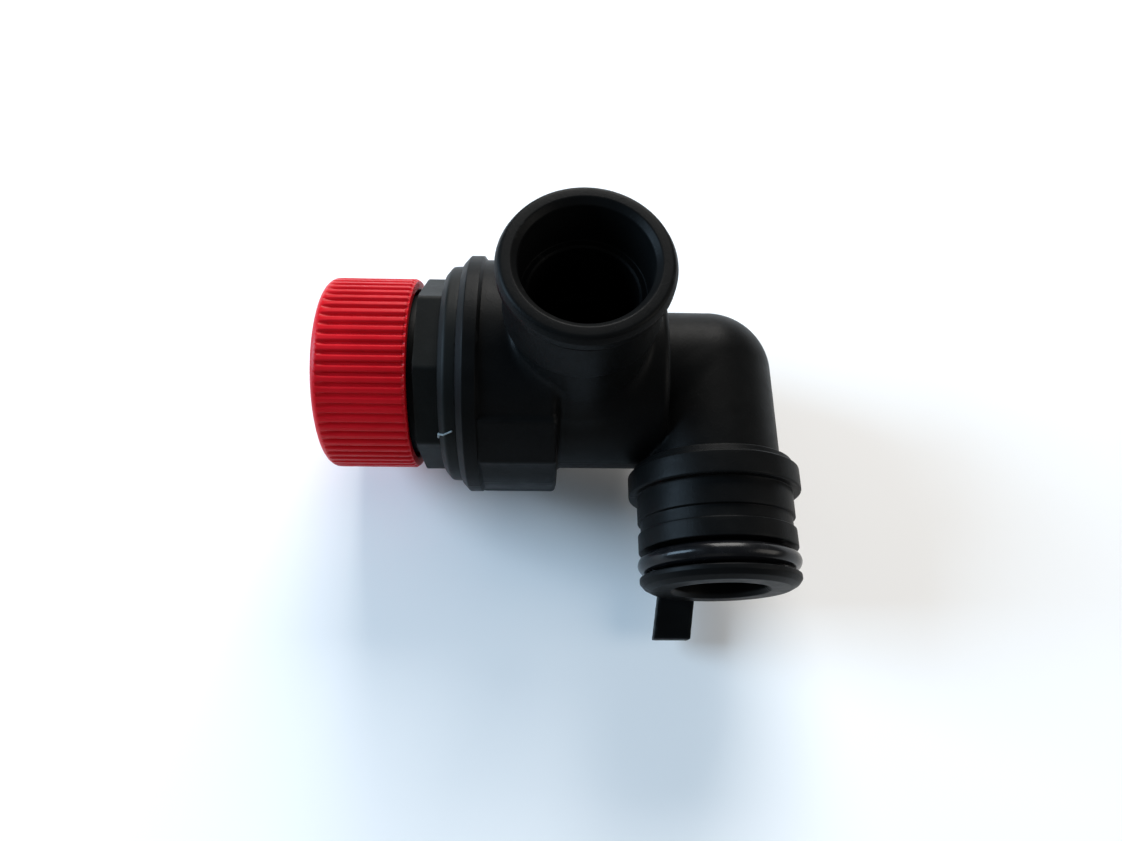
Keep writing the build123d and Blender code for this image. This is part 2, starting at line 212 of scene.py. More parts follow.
def sbox(x, y, z, hx, hy, hz, r):
    qx, qy, qz = np.abs(x) - hx + r, np.abs(y) - hy + r, np.abs(z) - hz + r
    return np.sqrt(np.maximum(qx, 0) ** 2 + np.maximum(qy, 0) ** 2 + np.maximum(qz, 0) ** 2) + np.minimum(np.maximum(qx, np.maximum(qy, qz)), 0) - r


def capsule(x, y, z, a, b, r):
    ax, ay, az = a
    ex, ey, ez = b[0] - ax, b[1] - ay, b[2] - az
    ll = ex * ex + ey * ey + ez * ez
    wx, wy, wz = x - ax, y - ay, z - az
    t = np.clip((wx * ex + wy * ey + wz * ez) / ll, 0, 1)
    return np.sqrt((wx - t * ex) ** 2 + (wy - t * ey) ** 2 + (wz - t * ez) ** 2) - r


def gradient(field, P, e=0.03):
    x, y, z = P[:, 0], P[:, 1], P[:, 2]
    return np.stack([field(x + e, y, z) - field(x - e, y, z), field(x, y + e, z) - field(x, y - e, z),
                     field(x, y, z + e) - field(x, y, z - e)], 1) / (2 * e)


def onto(field, P, rounds, most):
    for _ in range(rounds):
        d = field(P[:, 0], P[:, 1], P[:, 2])
        g = gradient(field, P)
        ln = np.maximum(np.linalg.norm(g, axis=1), 0.3)
        P = P - g / ln[:, None] * np.clip(d / ln, -most, most)[:, None]
    return P


def mesh_from_field(name, field, lo, hi, voxel, rounds=2):
    """Closed quad mesh of field < 0; corners are rebuilt from the planes of the faces round each point."""
    lo, hi = np.array(lo, float), np.array(hi, float)
    n = np.ceil((hi - lo) / voxel).astype(int) + 1
    ys = lo[1] + np.arange(n[1]) * voxel
    zs = lo[2] + np.arange(n[2]) * voxel
    Y, Z = np.meshgrid(ys, zs, indexing="ij")
    vol = np.empty((n[0], n[1], n[2]), np.float32)
    for i in range(n[0]):
        X = np.full(Y.shape, lo[0] + i * voxel)
        vol[i] = field(X, Y, Z)
    np.clip(vol, -3 * voxel, 3 * voxel, out=vol)
    grid = openvdb.FloatGrid(3 * voxel)
    grid.copyFromArray(vol)
    pts, quads = grid.convertToQuads(isovalue=0.0)
    P = onto(field, pts.astype(np.float64) * voxel + lo, 2, 0.35 * voxel)
    Q = quads.astype(np.int64)
    for _ in range(rounds):
        C = onto(field, P[Q].mean(1), 2, 0.4 * voxel)
        N = gradient(field, C)
        N /= np.maximum(np.linalg.norm(N, axis=1), 1e-6)[:, None]
        m = len(P)
        count = np.zeros(m)
        mean = np.zeros((m, 3))
        for k in range(4):
            np.add.at(count, Q[:, k], 1)
            np.add.at(mean, Q[:, k], C)
        mean /= np.maximum(count, 1)[:, None]
        A = np.zeros((m, 3, 3))
        B = np.zeros((m, 3))
        NN = N[:, :, None] * N[:, None, :]
        for k in range(4):
            v = Q[:, k]
            np.add.at(A, v, NN)
            np.add.at(B, v, N * np.einsum("ij,ij->i", N, C - mean[v])[:, None])
        w, V = np.linalg.eigh(A)
        inv = np.where(w > 0.12 * w[:, 2:3], 1 / np.maximum(w, 1e-9), 0)
        move = np.einsum("nij,nj,nkj,nk->ni", V, inv, V, B)
        ln = np.linalg.norm(move, axis=1)
        move *= np.minimum(1, 0.9 * voxel / np.maximum(ln, 1e-9))[:, None]
        P = mean + move
    return make_mesh(name, P, [tuple(int(i) for i in q) for q in quads])


def make_mesh(name, P, faces, smooth=True):
    me = bpy.data.meshes.new(name)
    me.from_pydata(to_row(P).tolist(), [], faces)
    me.update()
    # outward faces
    bm = bmesh.new()
    bm.from_mesh(me)
    bmesh.ops.recalc_face_normals(bm, faces=bm.faces)
    if bm.calc_volume(signed=True) < 0:
        bmesh.ops.reverse_faces(bm, faces=bm.faces)
    bm.to_mesh(me)
    bm.free()
    me.polygons.foreach_set("use_smooth", [smooth] * len(me.polygons))
    if smooth:
        bm = bmesh.new()
        bm.from_mesh(me)
        for e in bm.edges:
            e.smooth = not (len(e.link_faces) == 2 and e.calc_face_angle(0.0) > 0.62)
        bm.to_mesh(me)
        bm.free()
    me.update()
    ob = bpy.data.objects.new(name, me)
    bpy.context.scene.collection.objects.link(ob)
    return ob


# ------------------------------------------------------------------ valve body
main_l = Lathe([
    (-14.6, 0), (-14.6, HOUSING_BODY_R - 0.1), (-14.1, HOUSING_BODY_R), (HOUSING_BACK_X, HOUSING_BODY_R, 0.9), (HOUSING_BACK_X, NECK_R, 0.9),
    (NECK_END_X, NECK_R, 1.1), (NECK_END_X, 8.5), (8.0, 8.5), (8.0, 0)])
inlet_l = Lathe([(0, 0), (0, ELBOW_R), (-16.2, ELBOW_R), (-16.2, 0)])
outlet_l = Lathe([
    (4.0, 0), (4.0, 11.3), (9.4, 11.2, 2.5), (13.2, 9.9, 5.0), (19.6, SHANK_R), (20.7, SHANK_R + 0.07), (20.7, 0)])
well_l = Lathe([(-30, 0), (-30, 15.3), (-17.4, 15.3), (-16.81, 15.25), (-16.1, 14.75), (-10.6, 14.75), (-10.3, 15.2), (-7.8, 15.2, 0.15), (-7.8, 0)])
chamber_l = Lathe([(-8.5, 0), (-8.5, 11.2), (9.4, 11.2, 0.8), (9.4, 8.3, 0.5), (0.55, 8.3, 0.1), (0.0, 7.55, 0.2), (0.0, 6.95, 0.15), (0.35, INLET_BORE_R), (0.35, 0)])
outbore_l = Lathe([(9.2, 0), (9.2, 6.2), (11.5, 6.2, 0.3), (12.5, 7.1, 0.3), (23.7, 7.1), (24.0, 7.4), (24.0, 8.28, 0.15), (MOUTH_Z - 0.9, 8.28, 0.5), (MOUTH_Z + 0.3, 9.2), (40, 9.2), (40, 0)])
inbore_l = Lathe([(0, 0), (0, INLET_BORE_R), (INLET_END_Y + 0.9, INLET_BORE_R, 0.4), (INLET_END_Y - 0.3, INLET_BORE_R + 1.1), (-45, INLET_BORE_R + 1.1), (-45, 0)])
keel = rounded([((HOUSING_R if abs(d + 90) < 50 else 12.0) * math.sin(math.radians(d)), (HOUSING_R if abs(d + 90) < 50 else 12.0) * math.cos(math.radians(d)), 0.5)
                for d in (-40, -45, -68, -112, -135, -140)])


def sstep(a, b, x):
    t = np.clip((x - a) / (b - a), 0, 1)
    return t * t * (3 - 2 * t)


def body_field(x, y, z):
    rx = np.hypot(y, z)
    ry = np.hypot(x - INLET_X, z)
    rz = np.hypot(x, y)
    d = main_l(x, rx)
    # squared lower side
    k = poly_sdf(y, z, keel)
    kx = np.abs(x - (-14.2 + HOUSING_BACK_X) / 2) - (HOUSING_BACK_X + 14.2) / 2
    d = smin(d, smax(k, kx, 0.7), 0.6)
    # elbow: two runs and a ball corner
    inner = sstep(0.5, -2.0, (x - INLET_X + ELBOW_R)) * 0 + sstep(2.0, -3.0, y) * sstep(INLET_X + 1.0, INLET_X - 5.0, x)
    run = capsule(x, y, z, (9.0, 0, 0), (INLET_X, 0, 0), ELBOW_R)
    drop = inlet_l(y, ry)
    ball = np.sqrt((x - INLET_X) ** 2 + y * y + z * z) - ELBOW_R
    leg = np.minimum(drop, ball)
    elbow = smin(run, leg, 0.02 + 1.5 * inner)
    d = smin(d, elbow, 0.5)
    # hose outlet flows into neck and housing
    d = smin(d, outlet_l(z, rz), 0.05 + 1.3 * sstep(20.0, 16.0, z))
    # locating leg
    t = (y + 17.2) / (-38.35 + 17.2)
    cx = 18.7 + (15.17 - 18.7) * t
    wx = 2.78 + (2.72 - 2.78) * t
    lx = (x - cx) * 0.987
    e = sbox(lx, y + 27.78, z + 13.4, 2.80, 10.65, 1.1, 0.3)
    # small lead-in on the tip
    e = smax(e, (-(y + 38.4) * 0.7071 + (z + 12.3) * 0.7071) - 0.42, 0.1)
    root = sbox(x - 18.9, y + 17.9, z + 12.2, 2.9, 1.35, 2.35, 0.4)
    d = smin(d, smin(e, root, 0.4), 0.35)
    # hollows
    d = smax(d, -well_l(x, rx), 0.12)
    d = smax(d, -chamber_l(x, rx), 0.12)
    d = smax(d, -outbore_l(z, rz), 0.15)
    bore = np.minimum(capsule(x, y, z, (-3.0, 0, 0), (INLET_X, 0, 0), INLET_BORE_R), inbore_l(y, ry))
    bore = np.where(x < 0.2, np.maximum(bore, rx - 50), bore)
    d = smax(d, -bore, 0.12)
    return d


lo = (-18.0, -39.6, -19.4)
hi = (33.8, 19.4, 33.0)
body = mesh_from_field("body_moulding", body_field, lo, hi, 0.365)
print("body faces", len(body.data.polygons))

def turned(name, rows, columns, axis):
    """Closed ring of rows (along, radius) turned about the main (x), inlet (y) or outlet (z) axis."""
    rows = np.asarray(rows, float)
    t = np.arange(columns) / columns * 2 * math.pi
    A = np.repeat(rows[:, 0][:, None], columns, 1)
    Rr = np.repeat(rows[:, 1][:, None], columns, 1)
    S, C = Rr * np.sin(t)[None], Rr * np.cos(t)[None]
    XYZ = {"x": (A, S, C), "y": (S + INLET_X, A, C), "z": (S, C, A)}[axis]
    P = np.stack(XYZ, 2).reshape(-1, 3)
    nr, nc = len(rows), columns
    i = np.arange(nr)[:, None]
    c = np.arange(nc)[None, :]
    j, d = (i + 1) % nr, (c + 1) % nc
    F = np.stack([i * nc + c + 0 * j, i * nc + d + 0 * j, j * nc + d, j * nc + c + 0 * i], 2).reshape(-1, 4)
    return make_mesh(name, P, F.tolist())


def dense(points, step):
    """Polyline with extra points so that no run is longer than step."""
    pts = np.asarray(points, float)
    out = []
    for i in range(len(pts)):
        a, b = pts[i], pts[(i + 1) % len(pts)]
        n = max(1, int(math.ceil(np.linalg.norm(b - a) / step)))
        for k in range(n):
            out.append(a + (b - a) * k / n)
    return np.array(out)


TURN = 256
spigot_rows = dense(rounded([
    (-14.35, 9.9), (-14.35, ELBOW_R - 0.06), (-14.75, ELBOW_R + 0.02, 0.3), (-15.05, 11.2, 0.25), (-15.3, 11.62, 0.2), (-16.0, 11.75, 0.15), (-16.35, COLLAR_R, 0.3),
    (SEAT_Y, COLLAR_R, 0.3), (SEAT_Y, LAND_R, 0.12), (-23.35, LAND_R, 0.16), (-23.35, CLIP_R, 0.12), (-25.1, CLIP_R, 0.12),
    (-25.1, LAND_R, 0.16), (-27.7, LAND_R, 0.16), (-27.7, GROOVE_R, 0.25), (-31.25, GROOVE_R, 0.25), (-31.25, LAND_R, 0.2),
    (-31.95, LAND_R, 0.25), (-32.6, 10.75, 0.5), (INLET_END_Y, 9.8, 0.35), (INLET_END_Y, 7.0, 0.35), (INLET_END_Y + 0.6, INLET_BORE_R, 0.4), (-15.6, INLET_BORE_R), (-15.6, 9.9)], 6), 0.55)
spigot = turned("inlet_spigot_moulding", spigot_rows, TURN, "y")
barb_rows = dense(rounded([
    (19.0, 9.2), (19.6, SHANK_R - 0.03), (20.3, SHANK_R + 0.03), (21.0, SHANK_R + 0.1, 0.25),
    (21.35, 10.45, 0.22), (28.0, 10.12, 0.2), (28.35, 9.6, 0.25), (29.4, 9.55, 0.2), (29.5, BARB_R, 0.25),
    (MOUTH_Z - 1.0, BARB_R, 0.4), (MOUTH_Z, LIP_R - 0.1, 0.7), (MOUTH_Z, 9.0, 0.45), (MOUTH_Z - 0.7, 8.2, 0.5), (24.0, 8.2, 0.2), (24.0, 7.4), (23.7, 7.1, 0.15),
    (19.0, 7.1)], 6), 0.55)
barb = turned("hose_outlet_moulding", barb_rows, TURN, "z")
rim_rows = dense(rounded([
    (-13.3, HOUSING_BODY_R - 0.25), (-13.6, HOUSING_BODY_R + 0.03), (-14.0, HOUSING_R, 0.2), (-RIM_H + 1.0, HOUSING_R, 0.3), (-RIM_H, RIM_R, 0.22),
    (-RIM_H, 15.3, 0.15), (-RIM_H + 0.7, 14.8), (-13.3, 14.8)], 6), 0.5)
rim = turned("housing_rim_moulding", rim_rows, TURN, "x")

# ---------------------------------------------------------------------- bonnet
bonnet_l = Lathe([
    (-10.0, 11.4, 0.2), (-10.0, 14.4, 0.3), (-15.9, 14.5), (-RIM_H, 14.5), (-RIM_H, 16.5, 0.2), (-18.5, 16.4, 0.6), (-19.4, 15.35, 0.4),
    (-19.4, 13.6), (-22.9, 13.6), (-22.9, 12.1, 0.25), (-30.9, 12.1, 0.15), (-30.9, 10.5, 0.15), (-27.5, 10.5), (-27.2, 10.2), (-23.2, 10.2), (-23.2, 9.7),
    (-14.3, 9.7, 0.4), (-14.3, 11.4, 0.4)][::-1])
hex_l = Lathe([(-18.9, 12.6), (-18.9, 15.3), (-22.5, 15.2), (-22.9, 14.45, 0.2), (-22.9, 12.6)][::-1])
oct_poly = rounded([(14.8 * math.cos(math.radians(22.5 + 45 * i)), 14.8 * math.sin(math.radians(22.5 + 45 * i)), 0.9) for i in range(8)], 5)


def ramp_height(angle):
    """Cam profile above its base for an angle in degrees about the outward axis."""
    a = np.mod(angle, 120.0)
    return np.where(a < CAM_SPAN, CAM_RISE * a / CAM_SPAN, 0.0)


def bonnet_field(x, y, z):
    rx = np.hypot(y, z)
    d = bonnet_l(x, rx)
    o = np.maximum(poly_sdf(y, z, oct_poly), hex_l(x, rx))
    d = smin(d, o, 0.12)
    # outward axis is -X: local angle measured so that it grows anticlockwise seen from the knob
    ang = np.degrees(np.arctan2(y, z))
    h = CAM_BASE_H + ramp_height(CAM_SIGN * ang + CAM_PHASE)
    cam_cut = (-x - h) * 0.9
    zone = np.maximum(np.abs(rx - 11.3) - 1.2, CAM_BASE_H - 1.5 + x)
    d = np.where(zone < 0, np.maximum(d, cam_cut), d)
    return d


# the cam's phase is read off the CAD solid so that both always agree
CAM_SIGN, CAM_PHASE = 1.0, 0.0


def read_phase():
    global CAM_SIGN, CAM_PHASE
    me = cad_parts["bonnet"].data
    P = np.zeros(len(me.vertices) * 3)
    me.vertices.foreach_get("co", P)
    P = P.reshape(-1, 3) * 1000 + np.array([INLET_X, SEAT_Y, 0])
    r = np.hypot(P[:, 1], P[:, 2])
    pick = (-P[:, 0] > CAM_BASE_H + 0.15) & (r > 11.9)
    ang = np.degrees(np.arctan2(P[pick, 1], P[pick, 2]))
    h = -P[pick, 0] - CAM_BASE_H
    best = None
    for sign in (1.0, -1.0):
        for phase in np.arange(0, 120, 0.5):
            e = np.abs(ramp_height(sign * ang + phase) - h)
            e = np.minimum(e, 0.6).mean()
            if best is None or e < best[0]:
                best = (e, sign, phase)
    CAM_SIGN, CAM_PHASE = best[1], best[2]
    print("cam phase", best)


read_phase()
bonnet = mesh_from_field("bonnet_moulding", bonnet_field, (-31.6, -17.2, -17.2), (-9.4, 17.2, 17.2), 0.26)
print("bonnet faces", len(bonnet.data.polygons))




def on_axis(h, r, deg):
    return (-h, r * math.sin(math.radians(deg)), r * math.cos(math.radians(deg)))


def burr_field(x, y, z):
    near = capsule(x, y, z, on_axis(19.4, 15.45, -58.2), on_axis(18.6, 16.42, -56.0), 0.15)
    far = capsule(x, y, z, on_axis(18.6, 16.42, -56.0), on_axis(17.45, 16.56, -53.6), 0.12)
    short = capsule(x, y, z, on_axis(19.4, 15.4, -58.2), on_axis(19.5, 15.0, -61.3), 0.2)
    return smin(smin(near, far, 0.05), short, 0.1)


burr = mesh_from_field("bonnet_stake_burr", burr_field, on_axis(20.2, 17.0, -50.0)[:1] + (-16.0, 6.0), (-17.2, -10.5, 12.0), 0.07)

# ------------------------------------------------------------------------ knob
def lathe_mesh(name, rows, columns, modulate=None):
    """Closed ring of rows (h, r) turned about the main axis, with x = -h."""
    rows = np.asarray(rows, float)
    nr, nc = len(rows), columns
    t = np.arange(nc) / nc * 2 * math.pi
    H = np.repeat(rows[:, 0][:, None], nc, 1)
    Rr = np.repeat(rows[:, 1][:, None], nc, 1)
    if modulate is not None:
        H, Rr = modulate(H, Rr, t, rows)
    X = -H
    Y = Rr * np.sin(t)[None, :]
    Z = Rr * np.cos(t)[None, :]
    P = np.stack([X, Y, Z], 2).reshape(-1, 3)
    faces = []
    for i in range(nr):
        j = (i + 1) % nr
        a, b = i * nc, j * nc
        for c in range(nc):
            d = (c + 1) % nc
            faces.append((a + c, a + d, b + d, b + c))
    return make_mesh(name, P, faces)


knob_outline = rounded([
    (KNOB_RIM_H, 12.95, 0.2), (KNOB_RIM_H, KNOB_R - 0.3, 0.16), (KNOB_RIM_H + 0.45, KNOB_R, 0.3), (KNOB_END_H, KNOB_R, 1.25),
    (KNOB_END_H - 0.04, 8.1, 0.12), (KNOB_END_H - 0.3, 7.78, 0.1), (35.76, 7.76), (35.76, 7.0, 0.1), (33.0, 7.0, 0.4), (33.0, 2.25),
    (31.0, 2.25), (31.0, 8.6, 0.3), (35.0, 8.6, 0.5), (35.0, 12.9, 0.5)], 6)
# CAM: the knob's own cam ring is a second closed ring, below
COLS = RIBS * 12
knob_rows = dense(knob_outline, 1.0)


def rib_shape(phase):
    """0 on a crest, 1 in a groove, for a phase of 0 to 1 along the rib pitch."""
    g = np.abs(phase - 0.5) * 2  # 1 on the crest's middle, 0 in the groove's middle
    return 1.0 - sstep(0.12, 0.62, g)


def knob_ribs(H, Rr, t, rows):
    outer = (rows[:, 1] > 13.6)
    depth = np.where(outer, 0.44, 0.0) * sstep(KNOB_END_H - 1.0, KNOB_END_H - 1.55, rows[:, 0]) * sstep(KNOB_RIM_H + 0.02, KNOB_RIM_H + 0.3, rows[:, 0])
    ph = np.mod(t / (2 * math.pi) * RIBS, 1.0)
    # every rib differs by a hair, as a worn tool leaves them
    wob = 0.03 * np.sin(t * 3 + 0.7) + 0.02 * np.sin(t * 11)
    g = rib_shape(ph)[None, :] * depth[:, None] * (1 + wob[None, :])
    return H, Rr - g


knob = lathe_mesh("ribbed_knob", knob_rows, COLS, knob_ribs)


def knob_cam_field(x, y, z):
    rx = np.hypot(y, z)
    ring = np.maximum(np.maximum(10.55 - rx, rx - 12.05), np.maximum(-x - 35.4, CAM_BASE_H + CAM_GAP + x))
    ang = np.mod(CAM_SIGN * np.degrees(np.arctan2(y, z)) + CAM_PHASE, 120.0)
    h = CAM_BASE_H + CAM_GAP + np.where(ang < CAM_SPAN + 0.8, CAM_RISE * ang / CAM_SPAN, 0.0)
    return np.maximum(ring, (x + h) * 0.9)


knob_cam = mesh_from_field("knob_cam_ring", knob_cam_field, (-36.2, -12.8, -12.8), (-27.2, 12.8, 12.8), 0.3)
cap_rows = dense(rounded([
    (36.95, 0.004), (36.95, 6.6, 0.3), (36.8, 6.9, 0.2), (36.8, 7.1, 0.2), (36.95, 7.35, 0.15), (36.95, 7.7, 0.3), (35.75, 7.7, 0.1), (35.75, 6.95, 0.05), (34.9, 6.95, 0.1), (34.9, 6.0, 0.1), (35.75, 5.9, 0.2), (35.75, 0.004)], 5), 0.5)
cap = lathe_mesh("knob_end_cap", cap_rows, 144)

# ---------------------------------------------------------------------- O-ring
def torus_mesh(name, centre, R, r, nu, nv, axis="y"):
    u = np.arange(nu) / nu * 2 * math.pi
    v = np.arange(nv) / nv * 2 * math.pi
    U, V = np.meshgrid(u, v, indexing="ij")
    # mould flash: a hair-thin line round the outside and inside
    rr = r + 0.018 * np.exp(-(np.sin(V) / 0.05) ** 2)
    # squeezed a little out of round by hand
    lift = 0.05 * np.sin(U * 2 + 0.6) + 0.03 * np.sin(U * 3 + 2.1)
    A = (R + rr * np.cos(V)) * np.cos(U)
    B = (R + rr * np.cos(V)) * np.sin(U)
    C = rr * np.sin(V) + lift
    P = np.stack([A + centre[0], C + centre[1], B + centre[2]], 2).reshape(-1, 3)
    faces = [(i * nv + j, ((i + 1) % nu) * nv + j, ((i + 1) % nu) * nv + (j + 1) % nv, i * nv + (j + 1) % nv) for i in range(nu) for j in range(nv)]
    return make_mesh(name, P, faces)


oring = torus_mesh("inlet_o_ring_rubber", (INLET_X, -29.48, 0.0), 11.46 - 1.31, 1.29, 256, 36)



# --------------------------------------------------- spring and diaphragm
SPRING_H0, SPRING_H1, SPRING_R, WIRE_R = 10.84, 22.96, 7.45, 1.0


def spring_mesh():
    """Round wire coil: closed end turns, evenly opened in between."""
    total = 6.0
    n = 96
    steps = int(total * n)
    ring = 14
    P, faces = [], []
    for i in range(steps + 1):
        u = i / steps * total
        # closed turn at both ends, open turns between
        f = np.clip((u - 0.85) / (total - 1.7), 0, 1)
        low, high = SPRING_H0 + WIRE_R, SPRING_H1 - WIRE_R
        h = low + 1.9 * min(u, 0.85) / 0.85 * 0.5 + (high - low - 1.9) * f + 1.9 * 0.5 * np.clip((u - total + 0.85) / 0.85, 0, 1)
        a = u * 2 * math.pi
        c = np.array([-h, SPRING_R * math.sin(a), SPRING_R * math.cos(a)])
        out = np.array([0, math.sin(a), math.cos(a)])
        wire = WIRE_R * (1.0 - 0.12 * (i in (0, steps)))
        for k in range(ring):
            b = k / ring * 2 * math.pi
            P.append(c + wire * (math.cos(b) * out + math.sin(b) * np.array([1.0, 0, 0])))
    for i in range(steps):
        for k in range(ring):
            a, b = i * ring + k, i * ring + (k + 1) % ring
            faces.append((a, b, b + ring, a + ring))
    faces.append(tuple(range(ring)))
    faces.append(tuple(steps * ring + k for k in range(ring)))
    return make_mesh("spring_coil", np.array(P), faces)


spring = spring_mesh()
# the rubber in three rings: the clamped rim, the rolling fold and the moving middle
dia_rim = turned("diaphragm_rim", dense(rounded([(-7.82, 11.2), (-7.82, 14.85, 0.2), (-9.18, 14.85, 0.2), (-9.18, 11.2, 0.1)], 4), 0.5), 144, "x")
dia_fold = turned("diaphragm_fold", dense(rounded([
    (-6.85, 8.7), (-6.45, 9.3, 0.3), (-6.4, 9.7, 0.3), (-6.7, 10.35, 0.3), (-7.82, 11.1, 0.2), (-7.95, 11.25), (-9.15, 11.25), (-8.0, 10.55, 0.4),
    (-7.6, 9.75, 0.3), (-7.95, 9.0, 0.3), (-8.0, 8.7)], 4), 0.3), 144, "x")
dia_mid = turned("diaphragm_middle", dense(rounded([(-6.82, 2.55), (-6.82, 8.6, 0.15), (-7.98, 8.6, 0.15), (-7.98, 2.55)], 4), 0.5), 144, "x")

# ------------------------------------------------------------------- materials
def nodes_of(name):
    m = bpy.data.materials.new(name)
    m.use_nodes = True
    nt = m.node_tree
    b = nt.nodes["Principled BSDF"]
    return m, nt, b


def add(nt, kind, **kw):
    n = nt.nodes.new(kind)
    for k, v in kw.items():
        if k.startswith("i_"):
            key = k[2:]
            key = int(key) if key.isdigit() else key.replace("_", " ")
            n.inputs[key].default_value = v
        else:
            setattr(n, k, v)
    return n


def ramp(nt, src, stops):
    r = nt.nodes.new("ShaderNodeValToRGB")
    r.color_ramp.elements[0].position = stops[0][0]
    r.color_ramp.elements[0].color = stops[0][1]
    r.color_ramp.elements[1].position = stops[-1][0]
    r.color_ramp.elements[1].color = stops[-1][1]
    for p, c in stops[1:-1]:
        e = r.color_ramp.elements.new(p)
        e.color = c
    nt.links.new(src, r.inputs[0])
    return r.outputs[0]


def grey(v):
    return (v, v, v, 1)


def noise(nt, co, scale, detail=4.0, rough=0.55, dist=0.0):
    n = add(nt, "ShaderNodeTexNoise", i_Scale=scale, i_Detail=detail, i_Roughness=rough, i_Distortion=dist)
    nt.links.new(co, n.inputs["Vector"])
    return n.outputs["Fac"]


def math_node(nt, op, a, b):
    n = add(nt, "ShaderNodeMath", operation=op)
    for i, v in enumerate((a, b)):
        if isinstance(v, (int, float)):
            n.inputs[i].default_value = v
        else:
            nt.links.new(v, n.inputs[i])
    return n.outputs[0]


def mix_col(nt, fac, a, b, mode="MIX"):
    n = add(nt, "ShaderNodeMix", data_type="RGBA", blend_type=mode)
    for key, v in ((0, fac), (6, a), (7, b)):
        if isinstance(v, (int, float)):
            n.inputs[key].default_value = v
        elif isinstance(v, tuple):
            n.inputs[key].default_value = v
        else:
            nt.links.new(v, n.inputs[key])
    return n.outputs[2]


def bump(nt, height, strength, distance, normal=None):
    n = add(nt, "ShaderNodeBump", i_Strength=strength, i_Distance=distance)
    nt.links.new(height, n.inputs["Height"])
    if normal is not None:
        nt.links.new(normal, n.inputs["Normal"])
    return n.outputs[0]


def moulded(name, base, light, rough, grain=2600.0, grain_amp=0.00002, spec=0.5, edge=0.35, scuff=0.0, seam=False):
    """Moulded plastic: fine eroded grain, slow mottling, flow marks, worn edges."""
    m, nt, b = nodes_of(name)
    co = add(nt, "ShaderNodeTexCoord").outputs["Object"]
    big = noise(nt, co, 90.0, 3.0, 0.6, 0.4)
    mid = noise(nt, co, 420.0, 4.0, 0.6)
    fine = noise(nt, co, grain, 3.0, 0.6)
    geo = add(nt, "ShaderNodeNewGeometry")
    worn = ramp(nt, geo.outputs["Pointiness"], [(0.515, grey(0)), (0.58, grey(1))])
    worn = math_node(nt, "MULTIPLY", worn, ramp(nt, mid, [(0.35, grey(0.1)), (0.7, grey(1))]))
    col = mix_col(nt, ramp(nt, big, [(0.3, grey(0)), (0.75, grey(1))]), base, light)
    col = mix_col(nt, math_node(nt, "MULTIPLY", worn, edge), col, tuple(min(1.0, c * 2.2 + 0.012) for c in light[:3]) + (1,))
    nt.links.new(col, b.inputs["Base Color"])
    ro = math_node(nt, "ADD", math_node(nt, "MULTIPLY", math_node(nt, "SUBTRACT", mid, 0.5), 0.22), rough)
    ro = math_node(nt, "ADD", ro, math_node(nt, "MULTIPLY", math_node(nt, "SUBTRACT", big, 0.5), 0.16))
    nt.links.new(ro, b.inputs["Roughness"])
    b.inputs["Specular IOR Level"].default_value = spec
    n1 = bump(nt, fine, 0.55, grain_amp)
    n2 = bump(nt, mid, 0.35, 0.00004, n1)
    if scuff > 0:
        vor = add(nt, "ShaderNodeTexWave", i_Scale=160.0, i_Distortion=26.0, i_Detail=4.0)
        nt.links.new(co, vor.inputs["Vector"])
        n2 = bump(nt, ramp(nt, vor.outputs["Fac"], [(0.93, grey(0)), (1.0, grey(1))]), scuff, 0.00002, n2)
    if seam:
        # raised parting line where the two mould halves meet, in the plane of the main and inlet axes
        sep = add(nt, "ShaderNodeSeparateXYZ")
        nt.links.new(co, sep.inputs[0])
        off = math_node(nt, "ABSOLUTE", sep.outputs["Z"], 0.0)
        n2 = bump(nt, ramp(nt, math_node(nt, "MULTIPLY", off, 1000.0), [(0.0, grey(1)), (0.12, grey(0.8)), (0.22, grey(0))]), 0.5, 0.00006, n2)
    nt.links.new(n2, b.inputs["Normal"])
    return m


BLACK = moulded("black_nylon", (0.0026, 0.0028, 0.0029, 1), (0.0044, 0.0047, 0.0048, 1), 0.42, spec=0.052, scuff=0.25, seam=True)
BLACK_BONNET = moulded("black_nylon_bonnet", (0.0040, 0.0045, 0.0043, 1), (0.0072, 0.0082, 0.0078, 1), 0.48, grain=2200.0, spec=0.08, scuff=0.2)
RED = moulded("red_knob", (0.49, 0.0035, 0.009, 1), (0.585, 0.006, 0.0145, 1), 0.38, grain=3200.0, grain_amp=0.000012, spec=0.13, edge=0.06)
RED_CAP = moulded("red_cap", (0.46, 0.0045, 0.010, 1), (0.55, 0.008, 0.016, 1), 0.33, grain=3200.0, grain_amp=0.000012, edge=0.1)
NATURAL = moulded("natural_plastic", (0.66, 0.64, 0.57, 1), (0.74, 0.72, 0.66, 1), 0.42)


def rubber(name, base, rough, spec=0.35, coat=0.0):
    m, nt, b = nodes_of(name)
    co = add(nt, "ShaderNodeTexCoord").outputs["Object"]
    mid = noise(nt, co, 500.0, 5.0, 0.65)
    fine = noise(nt, co, 3600.0, 2.0, 0.5)
    col = mix_col(nt, ramp(nt, mid, [(0.35, grey(0)), (0.8, grey(1))]), base, tuple(c * 1.8 for c in base[:3]) + (1,))
    nt.links.new(col, b.inputs["Base Color"])
    nt.links.new(math_node(nt, "ADD", math_node(nt, "MULTIPLY", math_node(nt, "SUBTRACT", mid, 0.5), 0.3), rough), b.inputs["Roughness"])
    nt.links.new(bump(nt, fine, 0.3, 0.00001, bump(nt, mid, 0.3, 0.00003)), b.inputs["Normal"])
    b.inputs["Specular IOR Level"].default_value = spec
    if coat:
        b.inputs["Coat Weight"].default_value = coat
        b.inputs["Coat Roughness"].default_value = 0.12
    return m


